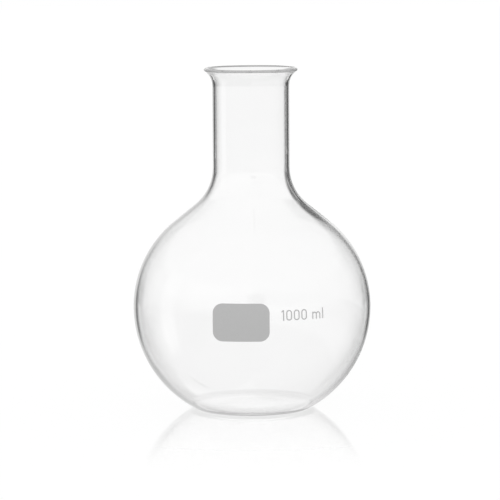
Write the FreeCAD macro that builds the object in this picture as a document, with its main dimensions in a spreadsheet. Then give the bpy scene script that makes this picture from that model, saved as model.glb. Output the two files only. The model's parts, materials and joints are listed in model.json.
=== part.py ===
import FreeCAD
import Part
import Sketcher

import math
import os

# Flat-bottomed boiling flask, 1000 ml, with fired enamel marks on the front of its bulb.
# Origin at the middle of the foot, +Z up the axis, the marks face -Y.

# Driving sizes, in millimetres and degrees.
SIZES = {
    # glass, outside
    "overall_height": 188.0,
    "body_diameter": 131.0,
    "bulb_centre_height": 56.3,
    "lower_bulb_radius": 64.2,
    "upper_bulb_radius": 60.2,
    "shoulder_slope": 51.0,
    "shoulder_radius": 26.5,
    "neck_diameter": 42.2,
    "flare_radius": 8.9,
    "rim_diameter": 51.4,
    "lip_radius": 1.0,
    "heel_radius": 5.5,
    "foot_width": 5.0,
    "push_up": 0.8,
    # glass, inside
    "bulb_wall": 1.5,
    "neck_wall": 1.7,
    "mouth_radius": 9.5,
    "base_wall": 2.4,
    "inner_heel_radius": 8.0,
    # enamel
    "enamel_thickness": 0.1,
    "enamel_reach": 40.0,
    "panel_width": 30.4,
    "panel_height": 20.4,
    "panel_corner": 5.2,
    "panel_turn": -5.3,
    "mark_lift": 3.55,
    "mark_turn": 14.8,
    "mark_stroke": 0.62,
    "numeral_height": 5.7,
    "numeral_width": 3.25,
    "numeral_pitch": 4.3,
    "one_pitch": 3.1,
    "flag_run": 0.8,
    "flag_drop": 0.6,
    "flag_depth": 0.75,
    "letter_height": 3.9,
    "letter_width": 5.05,
    "letter_gap": 1.3,
    "word_gap": 3.3,
}

ORIGIN = -1
V_AXIS = -2
START = 1
END = 2
CENTRE = 3
UP = FreeCAD.Vector(0, 0, 1)

doc = FreeCAD.newDocument("Flask")
sheet = doc.addObject("Spreadsheet::Sheet", "Sizes")
for row, (alias, value) in enumerate(SIZES.items(), start=1):
    sheet.set(f"A{row}", alias)
    sheet.set(f"B{row}", str(value))
    sheet.setAlias(f"B{row}", alias)
doc.recompute()


def size(alias):
    return float(sheet.get(alias))


def bind(sketch, expression, kind, *where):
    """Add a dimension to a sketch and tie it to the sheet."""
    value = float(sketch.evalExpression(expression))
    if kind == "Angle":
        value = math.radians(value)
        expression = f"({expression}) * 1 deg"
    index = sketch.addConstraint(Sketcher.Constraint(kind, *where, value))
    sketch.setExpression(f"Constraints[{index}]", expression)


def relate(sketch, kind, *where):
    """Add a relation without a size to a sketch, such as a tangent."""
    sketch.addConstraint(Sketcher.Constraint(kind, *where))


def point(radius, height):
    return FreeCAD.Vector(radius, height, 0)


def arc(sketch, centre, first, last):
    """Add the arc that runs anticlockwise round centre from first to last."""
    circle = Part.Circle(centre, UP, (first - centre).Length)
    angles = [math.atan2(p.y - centre.y, p.x - centre.x) for p in (first, last)]
    return sketch.addGeometry(Part.ArcOfCircle(circle, *angles))


def line(sketch, first, last):
    return sketch.addGeometry(Part.LineSegment(first, last))


def towards(start, target, distance):
    """Return the point at a distance from start, in the direction of target."""
    return start + (target - start).normalize() * distance


def origin_plane(body, role):
    return next(plane for plane in body.Origin.OriginFeatures if plane.Role == role)


# Glass: one blown wall, turned from its half section.
# The first estimate of every point below only starts the sketch near its solution. The sketch's own
# relations and dimensions then hold the section.

def cone_between(crown, crown_radius, hollow, hollow_radius):
    """Return the two ends of the line that touches the crown arc and the hollow shoulder arc."""
    reach = hollow - crown
    turn = math.atan2(reach.y, reach.x) - math.acos((crown_radius + hollow_radius) / reach.Length)
    normal = point(math.cos(turn), math.sin(turn))
    return crown + normal * crown_radius, hollow - normal * hollow_radius


def flask_section(sketch):
    bulb = size("body_diameter") / 2
    middle = size("bulb_centre_height")
    lower = size("lower_bulb_radius")
    upper = size("upper_bulb_radius")
    heel = size("heel_radius")
    neck = size("neck_diameter") / 2
    bore = neck - size("neck_wall")
    shoulder = size("shoulder_radius")
    flare = size("flare_radius")
    mouth = size("mouth_radius")
    lip = size("lip_radius")
    slope = math.radians(size("shoulder_slope"))
    wall = size("bulb_wall")
    base = size("base_wall")
    inner_heel = size("inner_heel_radius")

    # centres of the outer arcs
    bowl = point(bulb - lower, middle)
    crown = point(bulb - upper, middle)
    heel_out = math.sqrt((lower - heel) ** 2 - (middle - heel) ** 2)
    heel_centre = point(bowl.x + heel_out, heel)
    foot_edge = point(heel_centre.x, 0)
    foot_inside = point(foot_edge.x - size("foot_width"), 0)
    dome_radius = (foot_inside.x ** 2 + size("push_up") ** 2) / (2 * size("push_up"))
    dome = point(0, size("push_up") - dome_radius)
    cone_normal = point(math.cos(slope), math.sin(slope))
    cone_offset = crown.dot(cone_normal) + upper
    hollow = point(neck + shoulder, 0)
    hollow.y = (cone_offset + shoulder - hollow.x * cone_normal.x) / cone_normal.y
    bead = point(size("rim_diameter") / 2 - lip, size("overall_height") - lip)
    flare_drop = math.sqrt((flare + lip) ** 2 - (neck + flare - bead.x) ** 2)
    flare_centre = point(neck + flare, bead.y - flare_drop)
    mouth_drop = math.sqrt((mouth - lip) ** 2 - (bore + mouth - bead.x) ** 2)
    mouth_centre = point(bore + mouth, bead.y - mouth_drop)

    # centre of the inner heel, which touches the inside of the bowl and the top of the domed base
    rise = middle - dome.y
    to_bowl = lower - wall - inner_heel
    to_dome = dome_radius + base + inner_heel
    bowl_side = math.hypot(rise, bowl.x)
    along = (bowl_side ** 2 + to_dome ** 2 - to_bowl ** 2) / (2 * bowl_side)
    aside = math.sqrt(to_dome ** 2 - along ** 2)
    up_line = (bowl - dome).normalize()
    inner_heel_centre = dome + up_line * along + point(up_line.y, -up_line.x) * aside

    # outside, from the axis under the foot up to the lip
    dome_top = point(0, size("push_up"))
    heel_top = towards(bowl, heel_centre, lower)
    equator = point(bulb, middle)
    cone_low, cone_high = cone_between(crown, upper, hollow, shoulder)
    neck_low = point(neck, hollow.y)
    neck_high = point(neck, flare_centre.y)
    bead_low = towards(flare_centre, bead, flare)
    underside = arc(sketch, dome, foot_inside, dome_top)
    foot = line(sketch, foot_inside, foot_edge)
    heel_arc = arc(sketch, heel_centre, foot_edge, heel_top)
    bowl_arc = arc(sketch, bowl, heel_top, equator)
    crown_arc = arc(sketch, crown, equator, cone_low)
    cone = line(sketch, cone_low, cone_high)
    hollow_arc = arc(sketch, hollow, neck_low, cone_high)
    neck_line = line(sketch, neck_low, neck_high)
    flare_arc = arc(sketch, flare_centre, bead_low, neck_high)

    # lip, then inside from the mouth back down to the axis
    bead_high = towards(mouth_centre, bead, mouth)
    bore_high = point(bore, mouth_centre.y)
    bore_low = point(bore, hollow.y)
    inner_equator = point(bulb - wall, middle)
    inner_low, inner_high = cone_between(crown, upper - wall, hollow, shoulder + size("neck_wall"))
    inner_heel_top = towards(bowl, inner_heel_centre, lower - wall)
    inner_heel_low = towards(dome, inner_heel_centre, dome_radius + base)
    floor_middle = point(0, size("push_up") + base)
    bead_arc = arc(sketch, bead, bead_low, bead_high)
    mouth_arc = arc(sketch, mouth_centre, bead_high, bore_high)
    bore_line = line(sketch, bore_high, bore_low)
    inner_hollow = arc(sketch, hollow, bore_low, inner_high)
    inner_cone = line(sketch, inner_high, inner_low)
    inner_crown = arc(sketch, crown, inner_equator, inner_low)
    inner_bowl = arc(sketch, bowl, inner_heel_top, inner_equator)
    inner_heel_arc = arc(sketch, inner_heel_centre, inner_heel_low, inner_heel_top)
    floor = arc(sketch, dome, inner_heel_low, floor_middle)
    axis = line(sketch, floor_middle, dome_top)

    # smooth joins, in order round the section
    relate(sketch, "Coincident", underside, START, foot, START)
    for one, one_end, other, other_end in (
        (foot, END, heel_arc, START),
        (heel_arc, END, bowl_arc, START),
        (bowl_arc, END, crown_arc, START),
        (crown_arc, END, cone, START),
        (cone, END, hollow_arc, END),
        (hollow_arc, START, neck_line, START),
        (neck_line, END, flare_arc, END),
        (flare_arc, START, bead_arc, START),
        (bead_arc, END, mouth_arc, START),
        (mouth_arc, END, bore_line, START),
        (bore_line, END, inner_hollow, START),
        (inner_hollow, END, inner_cone, START),
        (inner_cone, END, inner_crown, END),
        (inner_crown, START, inner_bowl, END),
        (inner_bowl, START, inner_heel_arc, END),
        (inner_heel_arc, START, floor, START),
    ):
        relate(sketch, "Tangent", one, one_end, other, other_end)
    relate(sketch, "Coincident", floor, END, axis, START)
    relate(sketch, "Coincident", axis, END, underside, END)

    # places
    for geometry, end in ((axis, START), (axis, END), (underside, CENTRE)):
        relate(sketch, "PointOnObject", geometry, end, V_AXIS)
    relate(sketch, "Vertical", neck_line)
    relate(sketch, "Vertical", bore_line)
    relate(sketch, "Horizontal", crown_arc, CENTRE, bowl_arc, CENTRE)
    relate(sketch, "Coincident", floor, CENTRE, underside, CENTRE)
    relate(sketch, "Coincident", inner_hollow, CENTRE, hollow_arc, CENTRE)
    relate(sketch, "Coincident", inner_crown, CENTRE, crown_arc, CENTRE)
    relate(sketch, "Coincident", inner_bowl, CENTRE, bowl_arc, CENTRE)
    relate(sketch, "Horizontal", foot)
    relate(sketch, "PointOnObject", foot, START, ORIGIN)

    # dimensions
    bind(sketch, "Sizes.push_up", "DistanceY", ORIGIN, START, axis, END)
    bind(sketch, "Sizes.base_wall", "DistanceY", axis, END, axis, START)
    bind(sketch, "Sizes.foot_width", "DistanceX", foot, START, foot, END)
    bind(sketch, "Sizes.heel_radius", "Radius", heel_arc)
    bind(sketch, "Sizes.inner_heel_radius", "Radius", inner_heel_arc)
    bind(sketch, "Sizes.bulb_centre_height", "DistanceY", ORIGIN, START, bowl_arc, CENTRE)
    bind(sketch, "Sizes.body_diameter / 2", "DistanceX", ORIGIN, START, bowl_arc, END)
    bind(sketch, "Sizes.lower_bulb_radius", "Radius", bowl_arc)
    bind(sketch, "Sizes.upper_bulb_radius", "Radius", crown_arc)
    bind(sketch, "Sizes.lower_bulb_radius - Sizes.bulb_wall", "Radius", inner_bowl)
    bind(sketch, "90 + Sizes.shoulder_slope", "Angle", cone)
    bind(sketch, "Sizes.shoulder_radius", "Radius", hollow_arc)
    bind(sketch, "Sizes.neck_diameter / 2", "DistanceX", ORIGIN, START, neck_line, START)
    bind(sketch, "Sizes.neck_diameter / 2 - Sizes.neck_wall", "DistanceX", ORIGIN, START, bore_line, END)
    bind(sketch, "Sizes.flare_radius", "Radius", flare_arc)
    bind(sketch, "Sizes.mouth_radius", "Radius", mouth_arc)
    bind(sketch, "Sizes.lip_radius", "Radius", bead_arc)
    bind(sketch, "Sizes.rim_diameter / 2 - Sizes.lip_radius", "DistanceX", ORIGIN, START, bead_arc, CENTRE)
    bind(sketch, "Sizes.overall_height - Sizes.lip_radius", "DistanceY", ORIGIN, START, bead_arc, CENTRE)


def make_flask_body():
    body = doc.addObject("PartDesign::Body", "FlaskBody")
    body.Label = "flask_body"
    sketch = body.newObject("Sketcher::SketchObject", "FlaskSection")
    sketch.AttachmentSupport = [(origin_plane(body, "XZ_Plane"), "")]
    sketch.MapMode = "FlatFace"
    doc.recompute()
    flask_section(sketch)
    turned = body.newObject("PartDesign::Revolution", "BlownWall")
    turned.Profile = sketch
    turned.ReferenceAxis = (sketch, ["V_Axis"])
    turned.Angle = 360
    return body


# Enamel: a thin skin on the bulb, of which each mark keeps the patch that its outline cuts out.
# An outline is a list of corners. A corner reached by an arc also gives the arc's centre and sense.

def draw_outline(sketch, corners):
    """Add a closed outline whose corners, and arc centres, are expressions of the sheet."""
    places = []
    for corner in corners:
        places.append(point(*(float(sketch.evalExpression(e)) for e in corner[:2])))
    edges = []
    for index, corner in enumerate(corners):
        first = places[index - 1]
        last = places[index]
        if len(corner) == 2:
            edges.append((line(sketch, first, last), START, END))
            continue
        centre = point(*(float(sketch.evalExpression(e)) for e in corner[2:4]))
        if corner[4] == "anticlockwise":
            edges.append((arc(sketch, centre, first, last), START, END))
        else:
            edges.append((arc(sketch, centre, last, first), END, START))
        chord = last - first
        if abs(chord.x) > abs(chord.y):
            bind(sketch, corner[3], "DistanceY", ORIGIN, START, edges[-1][0], CENTRE)
        else:
            bind(sketch, corner[2], "DistanceX", ORIGIN, START, edges[-1][0], CENTRE)
    for index, (edge, first_end, last_end) in enumerate(edges):
        following, following_start, _ = edges[(index + 1) % len(edges)]
        relate(sketch, "Coincident", edge, last_end, following, following_start)
        bind(sketch, corners[index][0], "DistanceX", ORIGIN, START, edge, last_end)
        bind(sketch, corners[index][1], "DistanceY", ORIGIN, START, edge, last_end)


def upright_sketch(name, lift, turn):
    """Make a sketch that stands on the axis and looks out over the marks, turned round the axis."""
    sketch = doc.addObject("Sketcher::SketchObject", name)
    sketch.setExpression("Placement", f"placement(vector(0; 0; {lift}); rotation({turn}; 0; 90))")
    doc.recompute()
    return sketch


def make_enamel_skin():
    """Make the ring of enamel round the bulb that all marks are cut from."""
    sketch = upright_sketch("EnamelSection", "0", "0")
    wide = "Sizes.body_diameter / 2"
    middle = "Sizes.bulb_centre_height"
    bowl = f"{wide} - Sizes.lower_bulb_radius"
    crown = f"{wide} - Sizes.upper_bulb_radius"
    out = "cos(Sizes.enamel_reach * 1 deg)"
    up = "sin(Sizes.enamel_reach * 1 deg)"
    inside_low = "Sizes.lower_bulb_radius"
    inside_high = "Sizes.upper_bulb_radius"
    outside_low = f"({inside_low} + Sizes.enamel_thickness)"
    outside_high = f"({inside_high} + Sizes.enamel_thickness)"
    draw_outline(sketch, [
        (f"{bowl} + {outside_low} * {out}", f"{middle} - {outside_low} * {up}"),
        (f"{wide} + Sizes.enamel_thickness", middle, bowl, middle, "anticlockwise"),
        (f"{crown} + {outside_high} * {out}", f"{middle} + {outside_high} * {up}",
         crown, middle, "anticlockwise"),
        (f"{crown} + {inside_high} * {out}", f"{middle} + {inside_high} * {up}"),
        (wide, middle, crown, middle, "clockwise"),
        (f"{bowl} + {inside_low} * {out}", f"{middle} - {inside_low} * {up}", bowl, middle, "clockwise"),
    ])
    skin = doc.addObject("Part::Revolution", "EnamelSkin")
    skin.Source = sketch
    skin.Axis = UP
    skin.Angle = 360
    skin.Solid = True
    return skin


def make_mark(skin, label, outlines, lift, turn):
    """Keep the patch of the skin that the outlines cut out, seen straight on at the given turn."""
    name = "".join(word.capitalize() for word in label.split("_"))
    sketch = upright_sketch(f"{name}Outline", f"Sizes.bulb_centre_height + {lift}", turn)
    for outline in outlines:
        draw_outline(sketch, outline)
    cutter = doc.addObject("Part::Extrusion", f"{name}Cutter")
    cutter.Base = sketch
    cutter.DirMode = "Normal"
    cutter.Solid = True
    cutter.setExpression("LengthFwd", "Sizes.body_diameter")
    mark = doc.addObject("Part::Common", name)
    mark.Label = label
    mark.Base = skin
    mark.Tool = cutter
    return mark


def panel_outline():
    side = "Sizes.panel_width / 2"
    top = "Sizes.panel_height / 2"
    inset = f"({side} - Sizes.panel_corner)"
    below = f"({top} - Sizes.panel_corner)"
    return [
        (inset, f"-{top}"),
        (side, f"-{below}", inset, f"-{below}", "anticlockwise"),
        (side, below),
        (inset, top, inset, below, "anticlockwise"),
        (f"-{inset}", top),
        (f"-{side}", below, f"-{inset}", below, "anticlockwise"),
        (f"-{side}", f"-{below}"),
        (f"-{inset}", f"-{top}", f"-{inset}", f"-{below}", "anticlockwise"),
    ]


def slot_outline(side, top):
    """Return an upright slot with round ends, half as wide as side and half as high as top say."""
    turn = f"({top} - {side})"
    return [
        (side, turn),
        (f"-{side}", turn, "0", turn, "anticlockwise"),
        (f"-{side}", f"-{turn}"),
        (side, f"-{turn}", "0", f"-{turn}", "anticlockwise"),
    ]


def zero_outlines():
    side = "(Sizes.numeral_width / 2)"
    top = "(Sizes.numeral_height / 2)"
    outside = slot_outline(side, top)
    inside = slot_outline(f"({side} - Sizes.mark_stroke)", f"({top} - Sizes.mark_stroke)")
    return [outside, inside]


def one_outline():
    side = "Sizes.mark_stroke / 2"
    top = "Sizes.numeral_height / 2"
    tip = f"-({side} + Sizes.flag_run)"
    return [
        (side, f"-{top}"),
        (side, top),
        (f"-{side}", top),
        (tip, f"{top} - Sizes.flag_drop"),
        (tip, f"{top} - Sizes.flag_drop - Sizes.flag_depth"),
        (f"-{side}", f"{top} - Sizes.flag_depth"),
        (f"-{side}", f"-{top}"),
    ]


def letter_l_outline():
    side = "Sizes.mark_stroke / 2"
    top = "Sizes.numeral_height / 2"
    return [(side, f"-{top}"), (side, top), (f"-{side}", top), (f"-{side}", f"-{top}")]


def letter_m_outline():
    """Return three stems joined by two round arches, the first stem with a spur above its arch."""
    half = "Sizes.mark_stroke / 2"
    step = "((Sizes.letter_width - Sizes.mark_stroke) / 2)"
    base = "-Sizes.numeral_height / 2"
    top = f"({base} + Sizes.letter_height)"
    arch = f"(({step} + Sizes.mark_stroke) / 2)"
    spring = f"({top} - {arch})"
    crotch = f"{spring} + sqrt({arch} ^ 2 - ({step} / 2) ^ 2)"
    spur = f"{spring} + sqrt({arch} ^ 2 - ({step} / 2 - {half}) ^ 2)"
    first = f"-{step} / 2"
    second = f"{step} / 2"
    return [
        (f"-{step} + {half}", base),
        (f"-{step} + {half}", spring),
        (f"-{half}", spring, first, spring, "clockwise"),
        (f"-{half}", base),
        (half, base),
        (half, spring),
        (f"{step} - {half}", spring, second, spring, "clockwise"),
        (f"{step} - {half}", base),
        (f"{step} + {half}", base),
        (f"{step} + {half}", spring),
        ("0", crotch, second, spring, "anticlockwise"),
        (f"-{step} + {half}", spur, first, spring, "anticlockwise"),
        (f"-{step} + {half}", top),
        (f"-{step} - {half}", top),
        (f"-{step} - {half}", base),
    ]


def turn_after(distance):
    """Return the turn of a glyph that stands a distance along the equator after the first numeral."""
    return f"Sizes.mark_turn + ({distance}) / (Sizes.body_diameter / 2) * 180 / pi"


def make_marks():
    skin = make_enamel_skin()
    marks = [make_mark(skin, "writing_panel", [panel_outline()], "0", "Sizes.panel_turn")]
    lift = "Sizes.mark_lift"
    marks.append(make_mark(skin, "numeral_1", [one_outline()], lift, turn_after("0")))
    for place, ordinal in enumerate(("first", "second", "third")):
        last_zero = f"Sizes.one_pitch + {place} * Sizes.numeral_pitch"
        marks.append(make_mark(skin, f"numeral_0_{ordinal}", zero_outlines(), lift, turn_after(last_zero)))
    letters = f"{last_zero} + Sizes.numeral_width / 2 + Sizes.word_gap"
    m_place = f"{letters} + Sizes.letter_width / 2"
    l_place = f"{letters} + Sizes.letter_width + Sizes.letter_gap + Sizes.mark_stroke / 2"
    marks.append(make_mark(skin, "letter_m", [letter_m_outline()], lift, turn_after(m_place)))
    marks.append(make_mark(skin, "letter_l", [letter_l_outline()], lift, turn_after(l_place)))
    return marks


pieces = [make_flask_body()] + make_marks()
doc.recompute()

# Nothing is written unless the whole document came out sound.
for item in doc.Objects:
    if "Invalid" in item.State or "Error" in item.State:
        raise RuntimeError(f"{item.Name} failed: {item.State}")
for piece in pieces:
    if piece.Shape.isNull() or not piece.Shape.isValid() or len(piece.Shape.Solids) != 1:
        raise RuntimeError(f"{piece.Label} is not one sound solid")

os.makedirs("parts", exist_ok=True)
for piece in pieces:
    piece.Shape.exportStep(os.path.join("parts", f"{piece.Label}.step"))
    print(f"{piece.Label}: {piece.Shape.Volume:.3f} mm3")
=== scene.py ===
import json
import math

import bmesh
import bpy
from mathutils import Matrix, Vector


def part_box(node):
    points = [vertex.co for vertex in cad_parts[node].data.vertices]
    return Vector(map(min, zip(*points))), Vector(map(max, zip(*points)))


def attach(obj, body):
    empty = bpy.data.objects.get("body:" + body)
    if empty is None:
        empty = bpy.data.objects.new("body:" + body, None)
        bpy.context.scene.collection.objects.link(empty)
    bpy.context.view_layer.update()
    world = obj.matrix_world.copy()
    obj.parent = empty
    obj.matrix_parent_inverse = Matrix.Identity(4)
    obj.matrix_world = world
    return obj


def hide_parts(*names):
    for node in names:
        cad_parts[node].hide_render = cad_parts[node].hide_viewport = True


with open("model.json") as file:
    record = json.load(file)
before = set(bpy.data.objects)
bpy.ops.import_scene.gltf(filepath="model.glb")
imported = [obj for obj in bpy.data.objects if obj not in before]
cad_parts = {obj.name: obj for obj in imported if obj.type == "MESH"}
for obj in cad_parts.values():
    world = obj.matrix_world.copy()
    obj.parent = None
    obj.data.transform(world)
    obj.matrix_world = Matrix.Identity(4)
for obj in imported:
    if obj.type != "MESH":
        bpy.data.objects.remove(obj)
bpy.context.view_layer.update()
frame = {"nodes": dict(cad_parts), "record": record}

# Glass flask: one wall of clear borosilicate, blown into a mould and cut off at the mouth, where the
# flame flared and rounded the lip. The foot is a narrow flat ring round a bottom that is pushed up a
# little, so that the flask stands without rocking.
MM = 0.001
crown_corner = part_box("flask_body")[1]
HEIGHT = crown_corner.z
BULB_RADIUS = crown_corner.x
NECK_BORE = next(mount for mount in frame["record"]["mounts"] if mount["name"] == "neck_bore")
BORE_RADIUS = NECK_BORE["dims"]["r_mm"] * MM
NECK_WALL = 1.7 * MM
BULB_WALL = 1.5 * MM
NECK_RADIUS = BORE_RADIUS + NECK_WALL
BULB_CENTRE_HEIGHT = 56.3 * MM
LOWER_BULB_RADIUS = 64.2 * MM
UPPER_BULB_RADIUS = 60.2 * MM
SHOULDER_SLOPE = math.radians(51)
SHOULDER_RADIUS = 26.5 * MM
FLARE_RADIUS = 8.9 * MM
MOUTH_RADIUS = 9.5 * MM
RIM_RADIUS = 25.7 * MM
LIP_RADIUS = 1.0 * MM
HEEL_RADIUS = 5.5 * MM
INNER_HEEL_RADIUS = 8.0 * MM
FOOT_WIDTH = 5.0 * MM
PUSH_UP = 0.8 * MM
BASE_WALL = 2.4 * MM
FACET = math.radians(2.5)
FACETS_ROUND = 256
MERGE_DISTANCE = 0.001 * MM


def at(radius, height):
    """Return a point of the half section, which lies in the XZ plane."""
    return Vector((radius, 0, height))


def bearing(centre, place):
    """Return the angle of a place round a centre, anticlockwise from the radius."""
    return math.atan2(place.z - centre.z, place.x - centre.x)


def along(start, target, distance):
    """Return the point at a distance from start towards target."""
    return start + (target - start).normalized() * distance


def swing(section, tip, centre, target):
    """Carry the tip of the section round a centre to the bearing of target, and return the new tip."""
    turn = bearing(centre, target) - bearing(centre, tip.co)
    turn = (turn + math.pi) % math.tau - math.pi
    swept = bmesh.ops.spin(section, geom=[tip], cent=centre, axis=(0, -1, 0), angle=turn,
                           steps=max(2, math.ceil(abs(turn) / FACET)))
    return next(part for part in swept["geom_last"] if isinstance(part, bmesh.types.BMVert))


def run(section, tip, target, steps=1):
    """Draw the section on from its tip in a straight line of equal steps, and return the new tip."""
    stride = (target - tip.co) / steps
    for _ in range(steps):
        drawn = bmesh.ops.extrude_vert_indiv(section, verts=[tip])["verts"]
        drawn[0].co = tip.co + stride
        tip = drawn[0]
    return tip


# The centres of the arcs follow from the sizes.
bowl = at(BULB_RADIUS - LOWER_BULB_RADIUS, BULB_CENTRE_HEIGHT)
crown = at(BULB_RADIUS - UPPER_BULB_RADIUS, BULB_CENTRE_HEIGHT)
slope_normal = at(math.cos(SHOULDER_SLOPE), math.sin(SHOULDER_SLOPE))
heel_out = math.sqrt((LOWER_BULB_RADIUS - HEEL_RADIUS) ** 2 - (bowl.z - HEEL_RADIUS) ** 2)
heel = at(bowl.x + heel_out, HEEL_RADIUS)
foot_inside = at(heel.x - FOOT_WIDTH, 0)
dome_radius = (foot_inside.x ** 2 + PUSH_UP ** 2) / (2 * PUSH_UP)
dome = at(0, PUSH_UP - dome_radius)
hollow = at(NECK_RADIUS + SHOULDER_RADIUS, 0)
slope_offset = crown.dot(slope_normal) + UPPER_BULB_RADIUS + SHOULDER_RADIUS
hollow.z = (slope_offset - hollow.x * slope_normal.x) / slope_normal.z
bead = at(RIM_RADIUS - LIP_RADIUS, HEIGHT - LIP_RADIUS)
flare = at(NECK_RADIUS + FLARE_RADIUS, 0)
flare.z = bead.z - math.sqrt((FLARE_RADIUS + LIP_RADIUS) ** 2 - (flare.x - bead.x) ** 2)
mouth = at(BORE_RADIUS + MOUTH_RADIUS, 0)
mouth.z = bead.z - math.sqrt((MOUTH_RADIUS - LIP_RADIUS) ** 2 - (mouth.x - bead.x) ** 2)
inner_dome_radius = dome_radius + BASE_WALL
inner_bowl_radius = LOWER_BULB_RADIUS - BULB_WALL
to_bowl = inner_bowl_radius - INNER_HEEL_RADIUS
to_dome = inner_dome_radius + INNER_HEEL_RADIUS
up_line = bowl - dome
heel_along = (up_line.length_squared + to_dome ** 2 - to_bowl ** 2) / (2 * up_line.length)
heel_aside = math.sqrt(to_dome ** 2 - heel_along ** 2)
up_line.normalize()
inner_heel = dome + up_line * heel_along + at(up_line.z, -up_line.x) * heel_aside

# The half section runs from the middle of the bottom up the outside, over the lip and down the inside. The
# flare's start is eased, and the inside of the bulb leans a little off centre, as in blown glass.
EASE = 8 * MM
EASE_STEPS = 20
EASE_PASSES = 24
EASE_FACTOR = 0.5
EASE_BELOW_BEAD = 1.5 * LIP_RADIUS
LEAN = 0.25 * MM
LEAN_START = 6 * MM
LEAN_FADE = 85 * MM
LEAN_END = 125 * MM
section = bmesh.new()
inner = section.verts.layers.int.new("inner")
tip = section.verts.new(at(0, PUSH_UP))
tip = swing(section, tip, dome, foot_inside)
tip = run(section, tip, at(heel.x, 0))
tip = swing(section, tip, heel, along(bowl, heel, LOWER_BULB_RADIUS))
tip = swing(section, tip, bowl, at(BULB_RADIUS, bowl.z))
tip = swing(section, tip, crown, crown + slope_normal)
tip = run(section, tip, hollow - slope_normal * SHOULDER_RADIUS)
tip = swing(section, tip, hollow, at(NECK_RADIUS, hollow.z))
tip = run(section, tip, at(NECK_RADIUS, flare.z - EASE))
tip = run(section, tip, at(NECK_RADIUS, flare.z), EASE_STEPS)
tip = swing(section, tip, flare, bead)
for quarter in (at(1, 0), at(0, 1)):
    tip = swing(section, tip, bead, bead + quarter)
tip = swing(section, tip, bead, along(mouth, bead, MOUTH_RADIUS))
tip = swing(section, tip, mouth, at(BORE_RADIUS, mouth.z))
tip[inner] = 1
tip = run(section, tip, at(BORE_RADIUS, mouth.z - EASE), EASE_STEPS)
tip = run(section, tip, at(BORE_RADIUS, hollow.z))
tip = swing(section, tip, hollow, hollow - slope_normal)
tip = run(section, tip, crown + slope_normal * (UPPER_BULB_RADIUS - BULB_WALL))
tip = swing(section, tip, crown, at(BULB_RADIUS - BULB_WALL, crown.z))
tip = swing(section, tip, bowl, along(bowl, inner_heel, inner_bowl_radius))
tip = swing(section, tip, inner_heel, dome)
tip = swing(section, tip, dome, at(0, PUSH_UP + BASE_WALL))
eased = [vert for vert in section.verts if flare.z - EASE < vert.co.z < bead.z - EASE_BELOW_BEAD]
for _ in range(EASE_PASSES):
    bmesh.ops.smooth_vert(section, verts=eased, factor=EASE_FACTOR, use_axis_x=True, use_axis_z=True)
bmesh.ops.spin(section, geom=section.edges[:], cent=(0, 0, 0), axis=(0, 0, 1), angle=math.tau,
               steps=FACETS_ROUND, use_merge=True)
bmesh.ops.remove_doubles(section, verts=section.verts[:], dist=MERGE_DISTANCE)
for vert in section.verts:
    if vert[inner]:
        rise = (vert.co.z - LEAN_START) / (BULB_CENTRE_HEIGHT - LEAN_START)
        fall = (LEAN_END - vert.co.z) / (LEAN_END - LEAN_FADE)
        share = min(max(min(rise, fall), 0), 1)
        vert.co.x += LEAN * share * share * (3 - 2 * share)
bmesh.ops.recalc_face_normals(section, faces=section.faces[:])
for face in section.faces:
    face.smooth = True
glass_mesh = bpy.data.meshes.new("blown_glass")
section.to_mesh(glass_mesh)
section.free()
blown_glass = bpy.data.objects.new("blown_glass", glass_mesh)
bpy.context.scene.collection.objects.link(blown_glass)


def grain(material, scale, detail):
    """Add noise over the object's own coordinates, with a scale for each axis, and return its output."""
    nodes = material.node_tree.nodes
    links = material.node_tree.links
    coordinates = nodes.new("ShaderNodeTexCoord")
    mapping = nodes.new("ShaderNodeMapping")
    mapping.inputs["Scale"].default_value = scale
    noise = nodes.new("ShaderNodeTexNoise")
    noise.inputs["Scale"].default_value = 1
    noise.inputs["Detail"].default_value = detail
    links.new(coordinates.outputs["Object"], mapping.inputs["Vector"])
    links.new(mapping.outputs["Vector"], noise.inputs["Vector"])
    return noise.outputs["Fac"]


def vary(material, name, factor, low, high):
    """Lead a range from low to high, which follows a factor, to an input of the material's shader."""
    spread = material.node_tree.nodes.new("ShaderNodeMapRange")
    spread.inputs["To Min"].default_value = low
    spread.inputs["To Max"].default_value = high
    shader = material.node_tree.nodes["Principled BSDF"]
    material.node_tree.links.new(factor, spread.inputs["Value"])
    material.node_tree.links.new(spread.outputs["Result"], shader.inputs[name])


def relief(material, height, depth):
    """Lead a bump of the given depth to the material's shader."""
    bump = material.node_tree.nodes.new("ShaderNodeBump")
    bump.inputs["Strength"].default_value = 1
    bump.inputs["Distance"].default_value = depth
    shader = material.node_tree.nodes["Principled BSDF"]
    material.node_tree.links.new(height, bump.inputs["Height"])
    material.node_tree.links.new(bump.outputs["Normal"], shader.inputs["Normal"])


GLASS_INDEX = 1.473
STREAK_SCALE = (25, 25, 90)
STREAK_DETAIL = 1
STREAK_TINT = 0.984
STREAK_CLEAR = 0.996
STREAK_DEPTH = 0.02 * MM
clear_glass = bpy.data.materials.new("clear_glass")
clear_glass.use_nodes = True
glass_shader = clear_glass.node_tree.nodes["Principled BSDF"]
glass_shader.inputs["Roughness"].default_value = 0.0
glass_shader.inputs["IOR"].default_value = GLASS_INDEX
glass_shader.inputs["Transmission Weight"].default_value = 1.0
streaks = grain(clear_glass, STREAK_SCALE, STREAK_DETAIL)
vary(clear_glass, "Base Color", streaks, STREAK_TINT, STREAK_CLEAR)
relief(clear_glass, streaks, STREAK_DEPTH)
glass_mesh.materials.append(clear_glass)

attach(blown_glass, "root")
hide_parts("flask_body")

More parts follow.
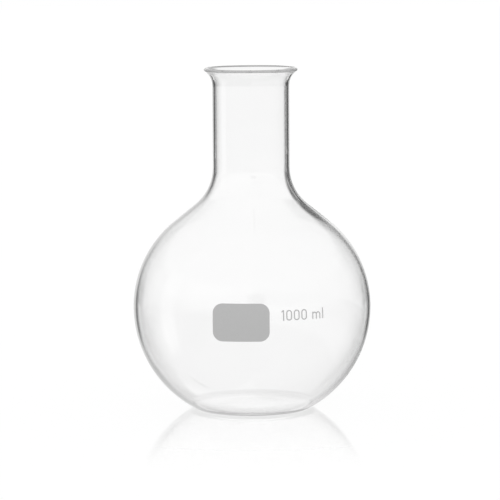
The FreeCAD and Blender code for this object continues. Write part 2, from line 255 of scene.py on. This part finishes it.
# Enamel marks: a writing panel and the capacity, printed in grey ceramic enamel through a screen and
# fired on to the front of the bulb, where they stand a tenth of a millimetre proud.
SPECKLE_SCALE = (2500, 2500, 2500)
SPECKLE_DETAIL = 3
SPECKLE_DEPTH = 0.01 * MM
ENAMEL_DARK = 0.44
ENAMEL_LIGHT = 0.54
ENAMEL_MATT = 0.62
ENAMEL_SATIN = 0.4
grey_enamel = bpy.data.materials.new("grey_enamel")
grey_enamel.use_nodes = True
speckle = grain(grey_enamel, SPECKLE_SCALE, SPECKLE_DETAIL)
vary(grey_enamel, "Base Color", speckle, ENAMEL_DARK, ENAMEL_LIGHT)
vary(grey_enamel, "Roughness", speckle, ENAMEL_MATT, ENAMEL_SATIN)
relief(grey_enamel, speckle, SPECKLE_DEPTH)
MARKS = [name for name in frame["nodes"] if name != "flask_body"]
for name in MARKS:
    mark = frame["nodes"][name]
    mark.data.materials.clear()
    mark.data.materials.append(grey_enamel)

# Flag: a small round black card with a feathered edge, which stands behind the flask on the right, out
# of the camera's sight. The glass bends it into the dark line down that shoulder.
FLAG_PLACE = Vector((46 * MM, 100 * MM, 113 * MM))
FLAG_CORE = 6 * MM
FLAG_EDGE = 14 * MM
FLAG_FACETS = 32
FLAG_BLACK = 0.01


def feathered(tree, centre, core, edge):
    """Add a factor that falls from 1 to 0 between two distances from a centre, and return its output."""
    place = tree.nodes.new("ShaderNodeTexCoord")
    distance = tree.nodes.new("ShaderNodeVectorMath")
    distance.operation = "DISTANCE"
    distance.inputs[1].default_value = centre
    fade = tree.nodes.new("ShaderNodeMapRange")
    fade.interpolation_type = "SMOOTHSTEP"
    fade.inputs["From Min"].default_value = core
    fade.inputs["From Max"].default_value = edge
    fade.inputs["To Min"].default_value = 1.0
    fade.inputs["To Max"].default_value = 0.0
    tree.links.new(place.outputs["Object"], distance.inputs[0])
    tree.links.new(distance.outputs["Value"], fade.inputs["Value"])
    return fade.outputs["Result"]


flag_mesh = bpy.data.meshes.new("flag")
card = bmesh.new()
upright = Matrix.Translation(FLAG_PLACE) @ Matrix.Rotation(math.pi / 2, 4, "X")
bmesh.ops.create_circle(card, cap_ends=True, segments=FLAG_FACETS, radius=FLAG_EDGE, matrix=upright)
card.to_mesh(flag_mesh)
card.free()
flag = bpy.data.objects.new("flag", flag_mesh)
bpy.context.scene.collection.objects.link(flag)
flag.visible_camera = False
flag.visible_diffuse = False
flag.visible_glossy = False
flag.visible_shadow = False

black_card = bpy.data.materials.new("black_card")
black_card.use_nodes = True
tree = black_card.node_tree
tree.nodes.clear()
clear = tree.nodes.new("ShaderNodeBsdfTransparent")
black = tree.nodes.new("ShaderNodeBsdfDiffuse")
black.inputs["Color"].default_value = (FLAG_BLACK, FLAG_BLACK, FLAG_BLACK, 1)
feather = tree.nodes.new("ShaderNodeMixShader")
surface = tree.nodes.new("ShaderNodeOutputMaterial")
tree.links.new(feathered(tree, FLAG_PLACE, FLAG_CORE, FLAG_EDGE), feather.inputs["Fac"])
tree.links.new(clear.outputs[0], feather.inputs[1])
tree.links.new(black.outputs[0], feather.inputs[2])
tree.links.new(feather.outputs[0], surface.inputs["Surface"])
flag_mesh.materials.append(black_card)

# Table: a plain white glossy top that fades into the white behind it. It takes the flask's soft shade
# and gives back a faint blurred reflection of the foot.
TABLE_SIZE = 12.0
TABLE_DROP = 0.05 * MM
table_mesh = bpy.data.meshes.new("table")
top = bmesh.new()
bmesh.ops.create_grid(top, x_segments=1, y_segments=1, size=TABLE_SIZE / 2)
bmesh.ops.translate(top, verts=top.verts[:], vec=(0, 0, -TABLE_DROP))
top.to_mesh(table_mesh)
top.free()
table = bpy.data.objects.new("table", table_mesh)
bpy.context.scene.collection.objects.link(table)
table.visible_transmission = False
table.visible_diffuse = False
table.visible_glossy = False

TABLE_MATT = 0.04
TABLE_LEVEL = 1.005
TABLE_INDEX = 1.45
GLOSS_ROUGHNESS = 0.05
GLOSS_NEAR = 30 * MM
GLOSS_FAR = 190 * MM
white_top = bpy.data.materials.new("white_top")
white_top.use_nodes = True
tree = white_top.node_tree
tree.nodes.clear()
matt = tree.nodes.new("ShaderNodeBsdfDiffuse")
matt.inputs["Color"].default_value = (TABLE_MATT, TABLE_MATT, TABLE_MATT, 1)
glow = tree.nodes.new("ShaderNodeEmission")
glow.inputs["Strength"].default_value = TABLE_LEVEL - TABLE_MATT
lit = tree.nodes.new("ShaderNodeAddShader")
gloss = tree.nodes.new("ShaderNodeBsdfGlossy")
gloss.inputs["Color"].default_value = (1, 1, 1, 1)
gloss.inputs["Roughness"].default_value = GLOSS_ROUGHNESS
fresnel = tree.nodes.new("ShaderNodeFresnel")
fresnel.inputs["IOR"].default_value = TABLE_INDEX
faded = tree.nodes.new("ShaderNodeMath")
faded.operation = "MULTIPLY"
polished = tree.nodes.new("ShaderNodeMixShader")
surface = tree.nodes.new("ShaderNodeOutputMaterial")
tree.links.new(matt.outputs[0], lit.inputs[0])
tree.links.new(glow.outputs[0], lit.inputs[1])
tree.links.new(feathered(tree, (0, 0, 0), GLOSS_NEAR, GLOSS_FAR), faded.inputs[0])
tree.links.new(fresnel.outputs[0], faded.inputs[1])
tree.links.new(faded.outputs[0], polished.inputs["Fac"])
tree.links.new(lit.outputs[0], polished.inputs[1])
tree.links.new(gloss.outputs[0], polished.inputs[2])
tree.links.new(polished.outputs[0], surface.inputs["Surface"])
table_mesh.materials.append(white_top)

# Studio: white light all round, which clear glass shows as white cards with dark gaps that draw its edges.
# Light let through, seen past the back lip, mirrored inside or off the glass, or led along the wall has its
# own tiers: (start, end, stops), blended in between two heights, with stops of (heading to the left, level).
CARD = 1.0
GAP = 0.03
FADE = 2


def even(level):
    """Return the stops of a tier of one brightness."""
    return [(-180, level), (180, level)]


def broken(*gaps):
    """Return the stops of a white tier that gaps of (start, end) headings break."""
    stops = []
    for start, end in gaps:
        stops += [(start - FADE, CARD), (start, GAP), (end, GAP), (end + FADE, CARD)]
    return stops


SEEN_FLOOR = even(0.9)
SEEN_TABLE = [(-28, CARD), (-26, 0.5), (-12, 0.5), (-8, 0.9), (6, 0.9), (10, 0.5), (26, 0.5), (28, CARD)]
SEEN_LOW = broken((-161, -154), (-116, -109), (-27, -18), (18, 27), (64, 71), (109, 116))
SEEN_WALL = broken(
    (-161, -149), (-121, -109), (-71, -59), (-34, -16), (19, 34), (59, 71), (109, 121), (149, 161),
)
SEEN_UPPER = [
    (-145, CARD), (-135, GAP), (-109, GAP), (-107, CARD), (-73, CARD), (-71, GAP), (-22, GAP), (-18, 0.6),
    (-12, 0.95), (9, 0.95), (14, 0.75), (20, 0.4), (71, 0.4), (73, CARD), (107, CARD), (109, 0.5),
    (135, 0.5), (145, CARD),
]
SEEN_CEILING = even(0.85)
SEEN_TIERS = [
    (-55, -48, SEEN_TABLE),
    (-13.8, -12.4, SEEN_LOW),
    (-6.4, -5.6, SEEN_WALL),
    (-2.5, -1.2, SEEN_UPPER),
    (25, 40, SEEN_CEILING),
]
MIRRORED_FLOOR = even(CARD)
MIRRORED_NEAR = [(-28, CARD), (-22, 0.7), (-15, CARD), (4, CARD), (12, 0.5), (26, 0.5), (31, CARD)]
MIRRORED_LOW = [
    (-32, CARD), (-27, GAP), (-20, GAP), (-15, 0.8), (4, 0.9), (9, 0.5), (19, 0.8), (22, GAP), (28, GAP),
    (34, CARD),
]
MIRRORED_WALL = [
    (-50, 0.9), (-42, 0.5), (-31, GAP), (-21, GAP), (-17, 0.9), (4, 0.9), (9, 0.5), (19, 0.8), (22, GAP),
    (31, GAP), (40, 0.6), (90, 0.8),
]
MIRRORED_UPPER = [
    (-65, 0.8), (-46, 0.25), (-41, GAP), (-22, GAP), (-18, 0.9), (4, CARD), (9, 0.3), (18, 0.5), (22, GAP),
    (36, GAP), (41, 0.25), (65, 0.8),
]
MIRRORED_HIGH = [
    (-120, 0.5), (-65, CARD), (-46, 0.3), (-41, GAP), (-15, GAP), (-8, CARD), (8, CARD), (13, 0.4),
    (24, 0.4), (27, 0.1), (35, 0.1), (42, 0.5), (65, CARD),
]
MIRRORED_CEILING = [(-120, 0.6), (-40, 0.5), (-30, 0.9), (0, 0.9), (20, 0.6), (120, 0.7)]
MIRRORED_TIERS = [
    (-55, -48, MIRRORED_NEAR),
    (-16, -12, MIRRORED_LOW),
    (-6.2, -5.4, MIRRORED_WALL),
    (-2.5, -1, MIRRORED_UPPER),
    (7, 10, MIRRORED_HIGH),
    (25, 29, MIRRORED_CEILING),
]
SHEEN_FLOOR = [(-80, GAP), (-50, 0.3), (-35, 0.8), (50, 0.8), (80, 0.5), (120, 0.3), (180, GAP)]
SHEEN_LOW = [
    (-20, GAP), (-5, CARD), (5, CARD), (20, 0.7), (35, GAP), (78, GAP), (84, CARD), (96, CARD), (102, GAP),
]
SHEEN_MIDDLE = [
    (-120, CARD), (-80, 0.4), (-50, 0.1), (-36, 0.7), (-32, 0.7), (-28, 0.1), (-21, 0.1), (-14, CARD),
    (35, CARD), (50, 0.3), (78, 0.4), (84, CARD), (96, CARD), (102, 0.6), (120, 0.9), (180, CARD),
]
SHEEN_HIGH = [(-50, CARD), (-34, 0.8), (-29, GAP), (-21, GAP), (-13, 0.9), (35, CARD)]
SHEEN_TIERS = [
    (-40, -20, SHEEN_LOW),
    (-5, 5, SHEEN_MIDDLE),
    (20, 30, SHEEN_HIGH),
]
RIM_FLOOR = even(CARD)
RIM_LINE = [
    (-110, CARD), (-100, GAP), (-38, GAP), (-30, 0.4), (3, 0.4), (8, 0.2), (30, GAP), (34, GAP), (38, CARD),
    (54, CARD), (58, GAP), (78, GAP), (82, CARD),
]
RIM_ABOVE = even(0.97)
RIM_TIERS = [
    (-60, -55, RIM_LINE),
    (-8, -5, RIM_ABOVE),
]
LED_ALONG_WALL = even(0.5)
world = bpy.data.worlds.new("studio")
bpy.context.scene.world = world
world.use_nodes = True
tree = world.node_tree
tree.nodes.clear()


def calculate(operation, *values):
    """Add a math node whose inputs are numbers or other nodes' outputs, and return its output."""
    node = tree.nodes.new("ShaderNodeMath")
    node.operation = operation
    for socket, value in zip(node.inputs, values):
        if isinstance(value, (int, float)):
            socket.default_value = value
        else:
            tree.links.new(value, socket)
    return node.outputs[0]


def blend(factor, first, second):
    """Add a mix of two levels by a factor of 0 to 1, and return its output."""
    node = tree.nodes.new("ShaderNodeMix")
    tree.links.new(factor, node.inputs["Factor"])
    tree.links.new(first, node.inputs["A"])
    tree.links.new(second, node.inputs["B"])
    return node.outputs["Result"]


def tier(stops):
    """Add a ramp of brightness over the heading, from (heading, level) stops, and return its output."""
    ramp = tree.nodes.new("ShaderNodeValToRGB")
    tree.links.new(turn, ramp.inputs["Fac"])
    elements = ramp.color_ramp.elements
    elements[1].position = 0
    for _ in stops[2:]:
        elements.new(1)
    for element, (heading, level) in zip(elements, stops):
        element.position = heading / 360 + 0.5
        element.color = (level, level, level, 1)
    return ramp.outputs["Color"]


def room(floor, tiers):
    """Stack tiers on a floor by their height, and return the level."""
    level = tier(floor)
    for start, end, stops in tiers:
        rise = tree.nodes.new("ShaderNodeMapRange")
        tree.links.new(elevation, rise.inputs["Value"])
        rise.inputs["From Min"].default_value = start
        rise.inputs["From Max"].default_value = end
        level = blend(rise.outputs["Result"], level, tier(stops))
    return level


# A ray's counts tell how its light came: its crossings of glass surfaces, and its mirrorings, which start at
# 1 for the camera's own ray. The limits lie halfway between whole counts.
NO_SURFACE = 0.5
ONE_WALL = 2.5
UNMIRRORED = 1.5
MIRRORED_TWICE = 3.5
MOST_BOUNCES = 600
direction = tree.nodes.new("ShaderNodeTexCoord")
axes = tree.nodes.new("ShaderNodeSeparateXYZ")
tree.links.new(direction.outputs["Generated"], axes.inputs[0])
leftward = calculate("MULTIPLY", axes.outputs["X"], -1)
turn = calculate("MULTIPLY_ADD", calculate("ARCTAN2", leftward, axes.outputs["Y"]), 1 / math.tau, 0.5)
elevation = calculate("DEGREES", calculate("ARCSINE", axes.outputs["Z"]))
path = tree.nodes.new("ShaderNodeLightPath")
crossings = path.outputs["Transmission Depth"]
mirrorings = calculate("SUBTRACT", path.outputs["Ray Depth"], crossings)
in_glass = calculate("MAXIMUM", path.outputs["Is Glossy Ray"], path.outputs["Is Transmission Ray"])
seen = room(SEEN_FLOOR, SEEN_TIERS)
rim = room(RIM_FLOOR, RIM_TIERS)
inside = room(MIRRORED_FLOOR, MIRRORED_TIERS)
sheen = room(SHEEN_FLOOR, SHEEN_TIERS)
let_through = blend(calculate("LESS_THAN", crossings, ONE_WALL), seen, rim)
mirrored = blend(calculate("LESS_THAN", crossings, NO_SURFACE), inside, sheen)
level = blend(calculate("GREATER_THAN", mirrorings, UNMIRRORED), let_through, mirrored)
level = blend(calculate("GREATER_THAN", mirrorings, MIRRORED_TWICE), level, tier(LED_ALONG_WALL))
shown_level = calculate("MULTIPLY_ADD", in_glass, calculate("SUBTRACT", level, 1), 1)
sky = tree.nodes.new("ShaderNodeBackground")
sky.inputs["Color"].default_value = (1, 1, 1, 1)
tree.links.new(shown_level, sky.inputs["Strength"])
shown = tree.nodes.new("ShaderNodeOutputWorld")
tree.links.new(sky.outputs[0], shown.inputs["Surface"])

# Light that enters the thick lip and foot turns many times inside the glass before it leaves.
bpy.context.scene.cycles.max_bounces = MOST_BOUNCES
bpy.context.scene.cycles.glossy_bounces = MOST_BOUNCES
bpy.context.scene.cycles.transmission_bounces = MOST_BOUNCES

# Camera: a long lens a little above the mouth, looking slightly down, as the flask is photographed. It
# stands almost straight in front and is rolled by a third of a degree.
CAMERA_DISTANCE = 1.600
CAMERA_HEIGHT = 0.2813
CAMERA_ASIDE = -0.95 * MM
CAMERA_DIP = math.radians(6.91)
CAMERA_ROLL = math.radians(0.35)
LENS_LENGTH = 210.3
SENSOR_WIDTH = 36.0
FARTHEST_SEEN = 50.0
lens = bpy.data.cameras.new("camera")
lens.sensor_width = SENSOR_WIDTH
lens.lens = LENS_LENGTH
lens.clip_end = FARTHEST_SEEN
camera = bpy.data.objects.new("camera", lens)
camera.location = (CAMERA_ASIDE, -CAMERA_DISTANCE, CAMERA_HEIGHT)
camera.rotation_mode = "ZYX"
camera.rotation_euler = (math.pi / 2 - CAMERA_DIP, 0, -CAMERA_ROLL)
bpy.context.scene.collection.objects.link(camera)
bpy.context.scene.camera = camera
bpy.context.scene.view_settings.view_transform = "Standard"
